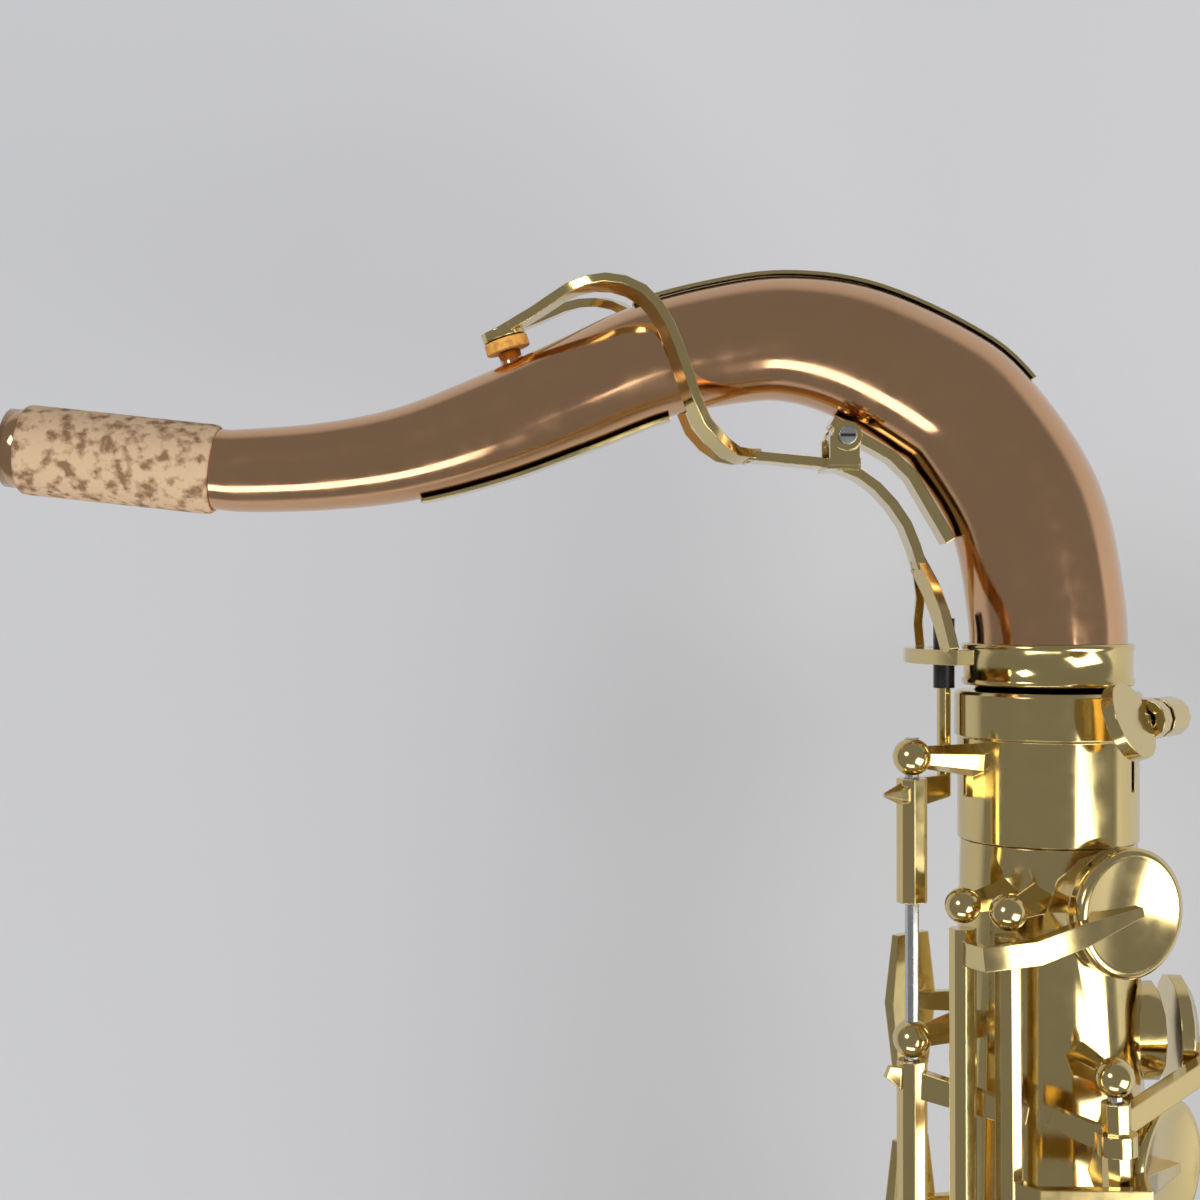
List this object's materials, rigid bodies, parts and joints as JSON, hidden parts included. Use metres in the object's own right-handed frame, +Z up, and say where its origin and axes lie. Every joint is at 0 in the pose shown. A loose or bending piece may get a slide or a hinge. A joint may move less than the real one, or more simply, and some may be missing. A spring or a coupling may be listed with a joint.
{
  "type": "tenor saxophone",
  "caption": "Tenor saxophone without mouthpiece, lying on its left side: conical brass body with keywork, bow and flared bell, and a curved neck with an octave key.",
  "frame": {"origin": "centre of the footprint, on the surface the instrument lies on", "axes": "+Y up the body towards the neck, -X towards the neck's tip (the player), +Z up, the player's right side uppermost"},
  "size_m": [0.3852, 0.7728, 0.1598],
  "materials": {
    "lacquered_brass": "clear yellow-gold lacquer, polished",
    "rose_lacquered_bronze": "copper-toned bronze under clear lacquer, polished",
    "rod_steel": "turned steel",
    "cork": "sanded cork, dull",
    "octave_pad_cork": "orange cork and felt, dull",
    "black_plastic": "black plastic, satin"
  },
  "bodies": {
    "body": {"bell": "lacquered_brass", "bell_brace": "lacquered_brass", "body_tube": "lacquered_brass", "bow": "lacquered_brass", "bow_ferrule_bell": "lacquered_brass", "bow_ferrule_body": "lacquered_brass", "guard_low_b": "lacquered_brass", "guard_low_bb": "lacquered_brass", "guard_low_c": "lacquered_brass", "guard_low_cs": "lacquered_brass", "lower_stack_rod": "rod_steel", "neck_receiver": "lacquered_brass", "octave_rod": "rod_steel", "strap_ring": "lacquered_brass", "thumb_hook": "lacquered_brass", "thumb_rest": "black_plastic", "upper_stack_rod": "rod_steel"},
    "key_a": {"key_a": "lacquered_brass"},
    "key_b": {"key_b": "lacquered_brass"},
    "key_bis": {"key_bis": "lacquered_brass"},
    "key_c_vent": {"key_c_vent": "lacquered_brass"},
    "key_d": {"key_d": "lacquered_brass"},
    "key_e": {"key_e": "lacquered_brass"},
    "key_f": {"key_f": "lacquered_brass"},
    "key_fs": {"key_fs": "lacquered_brass"},
    "key_g": {"key_g": "lacquered_brass"},
    "key_gs": {"key_gs": "lacquered_brass"},
    "key_high_e": {"key_high_e": "lacquered_brass"},
    "key_high_fs": {"key_high_fs": "lacquered_brass"},
    "key_low_b": {"key_low_b": "lacquered_brass"},
    "key_low_bb": {"key_low_bb": "lacquered_brass"},
    "key_low_c": {"key_low_c": "lacquered_brass"},
    "key_low_cs": {"key_low_cs": "lacquered_brass"},
    "key_low_eb": {"key_low_eb": "lacquered_brass"},
    "key_palm_d": {"key_palm_d": "lacquered_brass"},
    "key_palm_eb": {"key_palm_eb": "lacquered_brass"},
    "key_palm_f": {"key_palm_f": "lacquered_brass"},
    "key_side_bb": {"key_side_bb": "lacquered_brass"},
    "key_side_c": {"key_side_c": "lacquered_brass"},
    "neck": {"neck_collar": "lacquered_brass", "neck_cork": "cork", "neck_key_screw": "rod_steel", "neck_rib": "lacquered_brass", "neck_top_brace": "lacquered_brass", "neck_tube": "rose_lacquered_bronze", "neck_under_brace": "lacquered_brass"},
    "neck_octave": {"neck_octave_key": "lacquered_brass", "neck_octave_pad": "octave_pad_cork"},
    "octave_pin": {"octave_pin_lever": "lacquered_brass", "octave_pin_sleeve": "black_plastic"},
    "octave_thumb": {"octave_thumb_lever": "lacquered_brass"},
    "clamp_screw": {"receiver_clamp_screw": "lacquered_brass"}
  },
  "joints": [
    {"name": "neck_swivel", "type": "hinge", "parent": "body", "child": "neck", "pos_m": [-0.00881, 0.31101, 0.11052], "axis": [0, 0.9998, 0.0175], "range_deg": [-15, 15]},
    {"name": "clamp_screw_turn", "type": "hinge", "parent": "body", "child": "clamp_screw", "pos_m": [0.00863, 0.30655, 0.1194], "axis": [-0.4571, -0.0155, 0.8893], "range_deg": [-44, 0]},
    {"name": "octave_thumb_press", "type": "hinge", "parent": "body", "child": "octave_thumb", "pos_m": [-0.03196, 0.2107, 0.12694], "axis": [-0.001, 0.9999, 0.0132], "range_deg": [-8, 0], "stiffness_Nm_per_rad": 0.04, "springref_deg": 34.38},
    {"name": "octave_pin_rock", "type": "hinge", "parent": "body", "child": "octave_pin", "pos_m": [-0.03203, 0.2857, 0.12793], "axis": [-0.001, 0.9999, 0.0132], "range_deg": [-0.1, 12.1]},
    {"name": "neck_octave_rock", "type": "hinge", "parent": "neck", "child": "neck_octave", "pos_m": [-0.04479, 0.35606, 0.11948], "axis": [0.2215, -0.017, 0.975], "range_deg": [-4.6, 0.1]},
    {"name": "key_high_fs_swing", "type": "hinge", "parent": "body", "child": "key_high_fs", "pos_m": [-0.02333, 0.27396, 0.13577], "axis": [-0.0021, 1, -0.0012], "range_deg": [-8.22, 0], "stiffness_Nm_per_rad": 0.04, "springref_deg": 34.38},
    {"name": "key_high_e_swing", "type": "hinge", "parent": "body", "child": "key_high_e", "pos_m": [-0.01575, 0.22971, 0.13822], "axis": [-0.0058, 1, -0.0004], "range_deg": [-7.55, 0], "stiffness_Nm_per_rad": 0.04, "springref_deg": 34.38},
    {"name": "key_palm_f_swing", "type": "hinge", "parent": "body", "child": "key_palm_f", "pos_m": [-0.01845, 0.25944, 0.08536], "axis": [0.0095, 0.999, 0.0445], "range_deg": [0, 14.51], "stiffness_Nm_per_rad": 0.04, "springref_deg": -34.38},
    {"name": "key_palm_eb_swing", "type": "hinge", "parent": "body", "child": "key_palm_eb", "pos_m": [-0.01883, 0.21946, 0.08358], "axis": [0.0095, 0.999, 0.0445], "range_deg": [0, 14.56], "stiffness_Nm_per_rad": 0.04, "springref_deg": -34.38},
    {"name": "key_palm_d_swing", "type": "hinge", "parent": "body", "child": "key_palm_d", "pos_m": [-0.01924, 0.17649, 0.08167], "axis": [0.0095, 0.999, 0.0445], "range_deg": [0, 14.64], "stiffness_Nm_per_rad": 0.04, "springref_deg": -34.38},
    {"name": "key_side_c_swing", "type": "hinge", "parent": "body", "child": "key_side_c", "pos_m": [-0.02834, 0.08859, 0.13232], "axis": [0.0103, 0.9999, 0.0042], "range_deg": [-7.75, 0], "stiffness_Nm_per_rad": 0.04, "springref_deg": 34.38},
    {"name": "key_side_bb_swing", "type": "hinge", "parent": "body", "child": "key_side_bb", "pos_m": [-0.00762, 0.05248, 0.13836], "axis": [-0.0041, 1, -0.0086], "range_deg": [-9.35, 0], "stiffness_Nm_per_rad": 0.04, "springref_deg": 34.38},
    {"name": "key_gs_swing", "type": "hinge", "parent": "body", "child": "key_gs", "pos_m": [-0.0093, 0.06157, 0.07605], "axis": [-0.005, 0.9988, 0.0487], "range_deg": [0, 9.04], "stiffness_Nm_per_rad": 0.04, "springref_deg": -34.38},
    {"name": "key_c_vent_swing", "type": "hinge", "parent": "body", "child": "key_c_vent", "pos_m": [0.00105, 0.24937, 0.13487], "axis": [-0.0239, 0.9997, 0.001], "range_deg": [-0.05, 4.87]},
    {"name": "key_b_swing", "type": "hinge", "parent": "body", "child": "key_b", "pos_m": [0.00208, 0.20657, 0.13483], "axis": [-0.0239, 0.9997, 0.001], "range_deg": [0, 5.75], "stiffness_Nm_per_rad": 0.04, "springref_deg": -34.38},
    {"name": "key_bis_swing", "type": "hinge", "parent": "body", "child": "key_bis", "pos_m": [0.0027, 0.18056, 0.1348], "axis": [-0.0239, 0.9997, 0.001], "range_deg": [-0.05, 5.33]},
    {"name": "key_a_swing", "type": "hinge", "parent": "body", "child": "key_a", "pos_m": [0.00337, 0.15256, 0.13478], "axis": [-0.0239, 0.9997, 0.001], "range_deg": [0, 5.86], "stiffness_Nm_per_rad": 0.04, "springref_deg": -34.38},
    {"name": "key_g_swing", "type": "hinge", "parent": "body", "child": "key_g", "pos_m": [0.00449, 0.10555, 0.13473], "axis": [-0.0239, 0.9997, 0.001], "range_deg": [0, 6.01], "stiffness_Nm_per_rad": 0.04, "springref_deg": -34.38},
    {"name": "key_fs_swing", "type": "hinge", "parent": "body", "child": "key_fs", "pos_m": [0.00592, 0.01851, 0.1364], "axis": [-0.0098, 0.9999, -0.0045], "range_deg": [-0.05, 9.05]},
    {"name": "key_f_swing", "type": "hinge", "parent": "body", "child": "key_f", "pos_m": [0.00644, -0.0345, 0.13663], "axis": [-0.0098, 0.9999, -0.0045], "range_deg": [0, 8.63], "stiffness_Nm_per_rad": 0.12, "springref_deg": -34.38},
    {"name": "key_e_swing", "type": "hinge", "parent": "body", "child": "key_e", "pos_m": [0.00696, -0.08751, 0.13687], "axis": [-0.0098, 0.9999, -0.0045], "range_deg": [0, 8.28], "stiffness_Nm_per_rad": 0.1, "springref_deg": -34.38},
    {"name": "key_d_swing", "type": "hinge", "parent": "body", "child": "key_d", "pos_m": [0.00752, -0.14453, 0.13713], "axis": [-0.0098, 0.9999, -0.0045], "range_deg": [0, 7.94], "stiffness_Nm_per_rad": 0.1, "springref_deg": -34.38},
    {"name": "key_low_eb_swing", "type": "hinge", "parent": "body", "child": "key_low_eb", "pos_m": [-0.00138, -0.22958, 0.13963], "axis": [-0.0057, 1, -0.0076], "range_deg": [0, 11.79], "stiffness_Nm_per_rad": 0.12, "springref_deg": -34.38},
    {"name": "key_low_c_swing", "type": "hinge", "parent": "body", "child": "key_low_c", "pos_m": [0.00683, -0.28956, 0.1377], "axis": [-0.0045, 1, -0.0023], "range_deg": [0, 8.75], "stiffness_Nm_per_rad": 0.16, "springref_deg": -34.38},
    {"name": "key_low_b_swing", "type": "hinge", "parent": "body", "child": "key_low_b", "pos_m": [0.07402, -0.18549, 0.11978], "axis": [0.0521, 0.9968, 0.0611], "range_deg": [0, 11.21], "stiffness_Nm_per_rad": 0.2, "springref_deg": -34.38},
    {"name": "key_low_bb_swing", "type": "hinge", "parent": "body", "child": "key_low_bb", "pos_m": [0.07793, -0.11075, 0.12436], "axis": [0.0521, 0.9968, 0.0611], "range_deg": [0, 10.56], "stiffness_Nm_per_rad": 0.2, "springref_deg": -34.38},
    {"name": "key_low_cs_swing", "type": "hinge", "parent": "body", "child": "key_low_cs", "pos_m": [0.0573, -0.25215, 0.05182], "axis": [0.068, 0.9977, 0.002], "range_deg": [0, 10.5], "stiffness_Nm_per_rad": 0.16, "springref_deg": -34.38}
  ],
  "couplings": [
    {"joint": "octave_pin_rock", "follows": "octave_thumb_press", "ratio": -1.5},
    {"joint": "neck_octave_rock", "follows": "octave_thumb_press", "ratio": 0.5625},
    {"joint": "key_c_vent_swing", "follows": "key_b_swing", "ratio": 0.8374},
    {"joint": "key_bis_swing", "follows": "key_a_swing", "ratio": 0.9018},
    {"joint": "key_fs_swing", "follows": "key_f_swing", "ratio": 1.0435}
  ]
}
